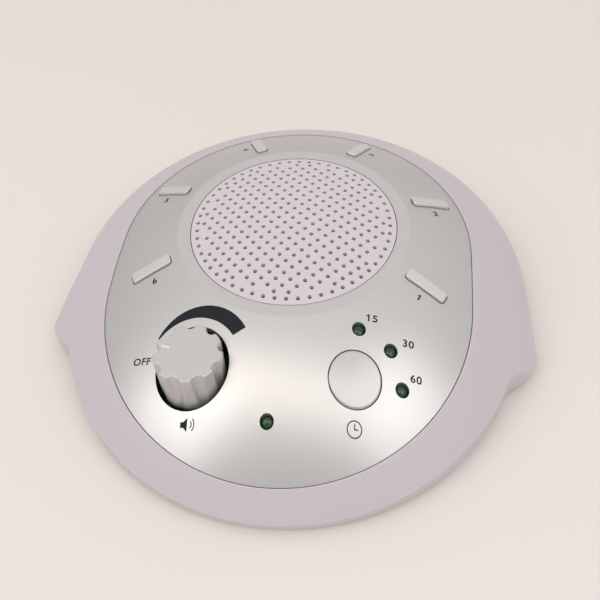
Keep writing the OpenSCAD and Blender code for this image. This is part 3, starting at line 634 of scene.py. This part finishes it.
def shell_mesh():
    """A closed moulding: recess wall, rounded lip, dome, shoulder, edge and the inside."""
    sections = []
    for k in range(SHELL_STEPS):
        angle = 2 * math.pi * k / SHELL_STEPS
        way = (math.cos(angle), math.sin(angle))
        low = recess_reach(angle)
        high = plan_reach(way, WING_REACH)
        seam = min(high, plan_reach(way, SEAM_REACH))
        section = recess_section(way, low)
        section += outer_section(way, low + LIP_ROUND, high)
        section += inner_section(way, low, seam)
        sections.append(section)
    return ring_mesh([list(ring) for ring in zip(*sections)], closed=True)


# ---------------------------------------------------------------- buttons
def rounded_plan(length, width, radius, corner_steps=6):
    """Outline of a rounded rectangle, anticlockwise, about its middle."""
    outline = []
    for cx, cy, start in ((1, 1, 0.0), (-1, 1, 0.5), (-1, -1, 1.0), (1, -1, 1.5)):
        for k in range(corner_steps + 1):
            a = math.pi * (start + 0.5 * k / corner_steps)
            outline.append((
                cx * (length / 2 - radius) + radius * math.cos(a),
                cy * (width / 2 - radius) + radius * math.sin(a),
            ))
    return outline


def key_ring(way, grow, rise):
    """A button's outline, grown, at a rise above the dome."""
    plan = rounded_plan(KEY_L + 2 * grow, KEY_W + 2 * grow, max(KEY_CORNER_R + grow, 0.1))
    points = []
    for u, v in plan:
        x = way[0] * (KEY_RHO + u) - way[1] * v
        y = way[1] * (KEY_RHO + u) + way[0] * v
        points.append((x, y, ball_top(DOME_R + rise, x, y)))
    return points


def key_mesh(angle):
    """A sound button: a cap with a rounded edge that follows the dome, and its flange."""
    way = (math.cos(angle), math.sin(angle))
    rings = [key_ring(way, inset, KEY_RISE) for inset in KEY_INSETS]
    for k in range(5):
        a = math.pi / 2 * k / 4
        rise = KEY_RISE - KEY_EDGE * (1 - math.cos(a))
        rings.append(key_ring(way, -KEY_EDGE + KEY_EDGE * math.sin(a), rise))
    rings.append(key_ring(way, 0.0, CAP_FOOT))
    rings.append(key_ring(way, FLANGE_W, FLANGE_TOP))
    rings.append(key_ring(way, FLANGE_W, FLANGE_FOOT))
    rings.append(key_ring(way, KEY_FOOT_INSET, FLANGE_FOOT))
    return capped_mesh(rings)


def circle(at, radius, count):
    """Plan points on a circle."""
    turns = [2 * math.pi * k / count for k in range(count)]
    return [(at[0] + radius * math.cos(a), at[1] + radius * math.sin(a)) for a in turns]


def timer_mesh():
    """The timer button: a round cap, a little domed, with its flange and stem."""
    profile = list(TIMER_TOP)
    for k in range(6):
        a = math.pi / 2 * k / 5
        profile.append((
            TIMER_R - TIMER_EDGE + TIMER_EDGE * math.sin(a), TIMER_RISE - TIMER_EDGE * (1 - math.cos(a))
        ))
    profile.append((TIMER_R, CAP_FOOT))
    profile.append((TIMER_R + FLANGE_W, FLANGE_TOP))
    profile.append((TIMER_R + FLANGE_W, FLANGE_FOOT))
    profile.append((TIMER_STEM_R, FLANGE_FOOT))
    rings = []
    for radius, rise in profile:
        outline = circle(TIMER_AT, radius, ROUND_STEPS)
        rings.append([(x, y, ball_top(DOME_R + rise, x, y)) for x, y in outline])
    low = min(v.co.z for v in nodes["timer_button"].data.vertices) / MM
    rings.append([(x, y, low) for x, y, _ in rings[-1]])
    return capped_mesh(rings)


# ---------------------------------------------------------------- knob
def knob_radius(angle, drop):
    """Plan radius of the knob at an angle, drop below its top: the flutes fade downwards."""
    pitch = 2 * math.pi / FLUTES
    turns = (angle - FLUTE_TURN) / pitch + 0.5
    near = (turns - math.floor(turns) - 0.5) * pitch
    centre = KNOB_R + FLUTE_OUT + math.tan(FLUTE_LEAN) * drop
    across = centre * math.sin(abs(near))
    if across >= FLUTE_R or centre * math.cos(near) <= 0:
        return KNOB_R
    cut = centre * math.cos(near) - math.sqrt(FLUTE_R ** 2 - across ** 2)
    # the smaller of the two, with the arris between flute and drum rounded
    return -ARRIS * math.log(math.exp(-cut / ARRIS) + math.exp(-KNOB_R / ARRIS))


def knob_ring(drop, inset):
    """The fluted outline, drop below the knob's top."""
    points = []
    for k in range(KNOB_STEPS):
        a = 2 * math.pi * k / KNOB_STEPS
        r = knob_radius(a, drop) - inset
        points.append((KNOB_AT[0] + r * math.cos(a), KNOB_AT[1] + r * math.sin(a), KNOB_TOP - drop))
    return points


def round_ring(radius, z):
    """A plain circle of as many points as a fluted ring."""
    return [(x, y, z) for x, y in circle(KNOB_AT, radius, KNOB_STEPS)]


def knob_mesh():
    """The fluted drum with a rounded top edge and a chamfered foot."""
    height = KNOB_TOP - KNOB_FOOT
    rings = [round_ring(1.0, KNOB_TOP), round_ring(6.0, KNOB_TOP), knob_ring(0.0, KNOB_EDGE + 0.3)]
    for k in range(7):
        a = math.pi / 2 * k / 6
        rings.append(knob_ring(KNOB_EDGE * (1 - math.cos(a)), KNOB_EDGE * (1 - math.sin(a))))
    for k in range(1, 11):
        rings.append(knob_ring(KNOB_EDGE + (height - KNOB_EDGE - 0.3) * k / 10, 0.0))
    rings.append(knob_ring(height, 0.3))
    rings.append(round_ring(4.0, KNOB_FOOT))
    return capped_mesh(rings)


# ---------------------------------------------------------------- printed marks
def on_dome(x, y, lift):
    """The point over (x, y), lift above the panel."""
    return (x, y, ball_top(DOME_R + lift, x, y))


def outline_mark(name, outline, inner):
    """A thin printed patch between two lines of as many points; a ring where they end as they began."""
    rings = []
    for j in range(MARK_ROWS + 1):
        s = j / MARK_ROWS
        rings.append([(a[0] + (b[0] - a[0]) * s, a[1] + (b[1] - a[1]) * s) for a, b in zip(outline, inner)])
    count = len(outline)
    points = [on_dome(x, y, INK_T) for ring in rings for x, y in ring]
    base = len(points)
    points += [on_dome(x, y, -INK_T) for ring in rings for x, y in ring]
    faces = []
    for j in range(MARK_ROWS):
        for k in range(count - 1):
            a, b = j * count + k, (j + 1) * count + k
            faces.append((a, a + 1, b + 1, b))
            faces.append((base + a, base + b, base + b + 1, base + a + 1))
    last = MARK_ROWS * count
    rim = [(k, k + 1) for k in range(count - 1)] + [(last + k + 1, last + k) for k in range(count - 1)]
    if outline[0] != outline[-1]:
        rim += [(j * count + count - 1, (j + 1) * count + count - 1) for j in range(MARK_ROWS)]
        rim += [((j + 1) * count, j * count) for j in range(MARK_ROWS)]
    for a, b in rim:
        faces.append((a, base + a, base + b, b))
    add_piece(name, (points, faces), "print")


def circle_through(p, q, r):
    """Centre and radius of the circle through three points."""
    ax, ay, bx, by, cx, cy = *p, *q, *r
    d = 2 * (ax * (by - cy) + bx * (cy - ay) + cx * (ay - by))
    a2, b2, c2 = ax * ax + ay * ay, bx * bx + by * by, cx * cx + cy * cy
    ux = (a2 * (by - cy) + b2 * (cy - ay) + c2 * (ay - by)) / d
    uy = (a2 * (cx - bx) + b2 * (ax - cx) + c2 * (bx - ax)) / d
    return (ux, uy), math.hypot(ax - ux, ay - uy)


def arc_points(start, way, end, count):
    """Points on the arc from start to end by way of a third point."""
    centre, radius = circle_through(start, way, end)
    a0 = math.atan2(start[1] - centre[1], start[0] - centre[0])
    a1 = math.atan2(way[1] - centre[1], way[0] - centre[0])
    a2 = math.atan2(end[1] - centre[1], end[0] - centre[0])
    turn = 2 * math.pi
    sign = 1 if (a1 - a0) % turn < (a2 - a0) % turn else -1
    sweep = sign * ((sign * (a2 - a0)) % turn)
    angles = [a0 + sweep * k / (count - 1) for k in range(count)]
    return [(centre[0] + radius * math.cos(a), centre[1] + radius * math.sin(a)) for a in angles]


def volume_wedge():
    """The dark crescent over the knob, thin at its quiet end."""
    outer = arc_points(*WEDGE_OUTER, WEDGE_STEPS)
    inner = arc_points(*WEDGE_INNER, WEDGE_STEPS)
    outline_mark("volume_wedge", outer, inner)


def glyph_mesh(body):
    """Flat letters about their middle, one unit tall and a little bold; the figure 1 has its flag."""
    curve = bpy.data.curves.new(body, "FONT")
    curve.body = body
    curve.align_x = "CENTER"
    curve.align_y = "CENTER"
    curve.resolution_u = 6
    curve.extrude = 0.01
    curve.offset = 0.018
    curve.space_character = 1.12
    source = bpy.data.objects.new(body, curve)
    bpy.context.scene.collection.objects.link(source)
    bpy.context.view_layer.update()
    mesh = bpy.data.meshes.new_from_object(source)
    bpy.data.objects.remove(source)
    tall = max(v.co.y for v in mesh.vertices) - min(v.co.y for v in mesh.vertices)
    points = [tuple(c / tall for c in v.co) for v in mesh.vertices]
    faces = [tuple(p.vertices) for p in mesh.polygons]
    if body.startswith("1"):
        # a slanting flag to the left of the stem's top
        foot = min(x for x, y, z in points if y < -0.3)
        flag = [(foot + 0.08, 0.5), (foot - 0.2, 0.34), (foot - 0.2, 0.2), (foot + 0.08, 0.33)]
        base = len(points)
        points += [(x, y, z) for z in (-1, 1) for x, y in flag]
        faces += [tuple(base + k for k in quad) for quad in BOX_FACES]
    bpy.data.meshes.remove(mesh)
    return points, faces


def text_mark(name, body, at, height, angle, stretch=1.15):
    """Plain figures or letters printed on the panel, centred on a point."""
    glyphs, faces = glyph_mesh(body)
    points = []
    ca, sa = math.cos(angle), math.sin(angle)
    for gx, gy, gz in glyphs:
        u, w = gx * height * stretch, gy * height
        x, y = at[0] + ca * u - sa * w, at[1] + sa * u + ca * w
        points.append(on_dome(x, y, INK_T if gz > 0 else -INK_T))
    add_piece(name, (points, faces), "print", smooth=20.0)


def stroke(points, width):
    """The two sides of a line of the given width along some points."""
    left, right = [], []
    for k, (x, y) in enumerate(points):
        x0, y0 = points[max(k - 1, 0)]
        x1, y1 = points[min(k + 1, len(points) - 1)]
        n = math.hypot(x1 - x0, y1 - y0)
        dx, dy = (x1 - x0) / n * width / 2, (y1 - y0) / n * width / 2
        left.append((x - dy, y + dx))
        right.append((x + dy, y - dx))
    return left, right


def clock_mark(at, radius):
    """A small clock face under the timer button: a ring and two hands."""
    ring = circle(at, radius, ROUND_STEPS // 2)
    ring.append(ring[0])
    grow = 1 + MARK_LINE / radius
    outer = [(at[0] + (x - at[0]) * grow, at[1] + (y - at[1]) * grow) for x, y in ring]
    outline_mark("clock_ring", outer, ring)
    for name, dx, dy in (("clock_hour", 0.55, 0.0), ("clock_minute", 0.0, 0.75)):
        hand = [(at[0] - dx * 0.1, at[1] - dy * 0.1), (at[0] + dx * radius, at[1] + dy * radius)]
        outline_mark(name, *stroke(hand, MARK_LINE))


def speaker_mark(at, size):
    """A small loudspeaker sign under the knob: a horn and two arcs."""
    x, y = at
    horn = [(x - size, y + 0.3 * size), (x - 0.6 * size, y + 0.3 * size), (x - 0.1 * size, y + 0.75 * size)]
    under = [(px, 2 * y - py) for px, py in horn]
    outline_mark("volume_horn", horn, under)
    angles = [math.radians(-48 + 96 * k / 12) for k in range(13)]
    for name, reach in (("volume_arc_near", 0.55), ("volume_arc_far", 1.0)):
        arc = [(x + 0.05 * size + reach * size * math.cos(a) * 0.8, y + reach * size * math.sin(a) * 0.85)
               for a in angles]
        outline_mark(name, *stroke(arc, MARK_LINE))


def panel_marks():
    """The wedge, the plain figures and the word OFF, and the two signs."""
    volume_wedge()
    for body, at in MINUTES.items():
        text_mark("minutes_" + body, body, at, MINUTES_H, math.radians(1))
    text_mark("volume_off", "OFF", OFF_AT, OFF_H, math.radians(-3))
    clock_mark(CLOCK_AT, CLOCK_R)
    speaker_mark(SPEAKER_AT, SPEAKER_SIZE)
    for i in range(6):
        angle = math.radians(90 + (i - 2.5) * KEY_PITCH)
        right = math.cos(angle) > 0
        off = FIGURE_OFF if right else -FIGURE_OFF
        at = (KEY_RHO * math.cos(angle) + off * math.sin(angle),
              KEY_RHO * math.sin(angle) - off * math.cos(angle))
        text_mark("sound_figure_%d" % (i + 1), str(i + 1), at, FIGURE_H, angle if right else angle + math.pi)


def pointer_mark():
    """The white inlay in the knob's top, which points past OFF at rest."""
    near, far, half = POINTER
    low, high = KNOB_TOP - POINTER_DEEP, KNOB_TOP + POINTER_PROUD
    ca, sa = math.cos(POINTER_TURN), math.sin(POINTER_TURN)
    corners = ((near, -half), (far, -half), (far, half), (near, half))
    points = [(KNOB_AT[0] + ca * r - sa * w, KNOB_AT[1] + sa * r + ca * w, z)
              for z in (low, high) for r, w in corners]
    add_piece("knob_pointer", (points, list(BOX_FACES)), "mark", body="knob")


# ---------------------------------------------------------------- lamp lenses
def lens_mesh(at):
    """The lamp's clear dome in its hole, tilted with the panel's slope to stay inside the hole's rim."""
    top = ball_top(DOME_R, *at) - LENS_SINK
    rings = []
    for k in range(1, 9):
        a = math.pi / 2 * k / 8
        z = top - LENS_DOME * (1 - math.cos(a))
        rings.append([(x, y, z) for x, y in circle(at, LENS_R * math.sin(a), ROUND_STEPS // 2)])
    rings.append([(x, y, top - LENS_H) for x, y, _ in rings[-1]])
    slope = (-at[0] / LENS_SLOPE_R, -at[1] / LENS_SLOPE_R)
    return capped_mesh([
        [(x, y, z + slope[0] * (x - at[0]) + slope[1] * (y - at[1])) for x, y, z in ring] for ring in rings
    ])


# ---------------------------------------------------------------- build
def build_pieces():
    """Dresses the solids' nodes, and adds the pieces that take the place of some of them."""
    for name, node in nodes.items():
        look = NODE_LOOKS.get(name, "key" if name.startswith("sound_button") else "steel")
        dress(node, look)
    shell = add_piece("shell_moulding", shell_mesh(), "lilac", smooth=40.0)
    bore(shell, 0.0, SOCKET_H, SOCKET_HOLE_R, SOCKET_START, CAPE_R + 5)
    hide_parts("upper_shell")
    knob = add_piece("fluted_knob", knob_mesh(), "knob", body="knob", smooth=50.0)
    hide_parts("volume_knob")
    timer = add_piece("timer_cap", timer_mesh(), "cap", body="timer_key")
    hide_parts("timer_button")
    for i in range(1, 7):
        angle = math.radians(90 + (i - 3.5) * KEY_PITCH)
        key = add_piece("sound_cap_%d" % i, key_mesh(angle), "key", body="sound_key_%d" % i)
        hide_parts("sound_button_%d" % i)
    for name, at in LAMP_AT.items():
        add_piece(name, lens_mesh(at), "lamp", smooth=60.0)
    panel_marks()
    pointer_mark()


# ---------------------------------------------------------------- studio
def make_floor():
    """A wide pale paper ground at table height."""
    far = FLOOR_HALF
    mesh = bpy.data.meshes.new("floor")
    mesh.from_pydata([(-far, -far, 0), (far, -far, 0), (far, far, 0), (-far, far, 0)], [], [(0, 1, 2, 3)])
    floor = bpy.data.objects.new("floor", mesh)
    bpy.context.scene.collection.objects.link(floor)
    material, tree, shader = new_material("floor_paper")
    slow = noise(tree, 3.0, 2.0)
    tint = tinted(tree, slow, scaled(BACKDROP, 0.985), scaled(BACKDROP, 1.01))
    tree.links.new(tint, shader.inputs["Base Color"])
    shader.inputs["Roughness"].default_value = 0.9
    shader.inputs["Specular IOR Level"].default_value = 0.1
    mesh.materials.append(material)


def area_light(name, at, target, size, power, colour):
    """A rectangular soft box."""
    light = bpy.data.lights.new(name, "AREA")
    light.shape = "RECTANGLE"
    light.size = size[0]
    light.size_y = size[1]
    light.energy = power
    light.color = colour
    holder = bpy.data.objects.new(name, light)
    way = Vector(target) - Vector(at)
    holder.rotation_euler = way.to_track_quat("-Z", "Y").to_euler()
    holder.location = at
    bpy.context.scene.collection.objects.link(holder)


def make_world():
    """An even pale room, brightest overhead, and a little darker in front than behind."""
    world = bpy.data.worlds.new("studio")
    world.use_nodes = True
    tree = world.node_tree
    coords = tree.nodes.new("ShaderNodeTexCoord")
    rise = tree.nodes.new("ShaderNodeVectorMath")
    rise.operation = "DOT_PRODUCT"
    rise.inputs[1].default_value = (0.0, ROOM_BACK, ROOM_UP)
    level = tree.nodes.new("ShaderNodeMath")
    level.operation = "ADD"
    level.inputs[1].default_value = ROOM_LEVEL
    background = tree.nodes["Background"]
    background.inputs["Color"].default_value = ROOM_COLOUR
    tree.links.new(coords.outputs["Generated"], rise.inputs[0])
    tree.links.new(rise.outputs["Value"], level.inputs[0])
    tree.links.new(level.outputs["Value"], background.inputs["Strength"])
    bpy.context.scene.world = world


def make_studio():
    """Floor, room and soft boxes."""
    make_floor()
    make_world()
    for light in LIGHTS:
        area_light(*light)
    bpy.context.scene.view_settings.view_transform = "Standard"


make_camera()
build_pieces()
make_studio()
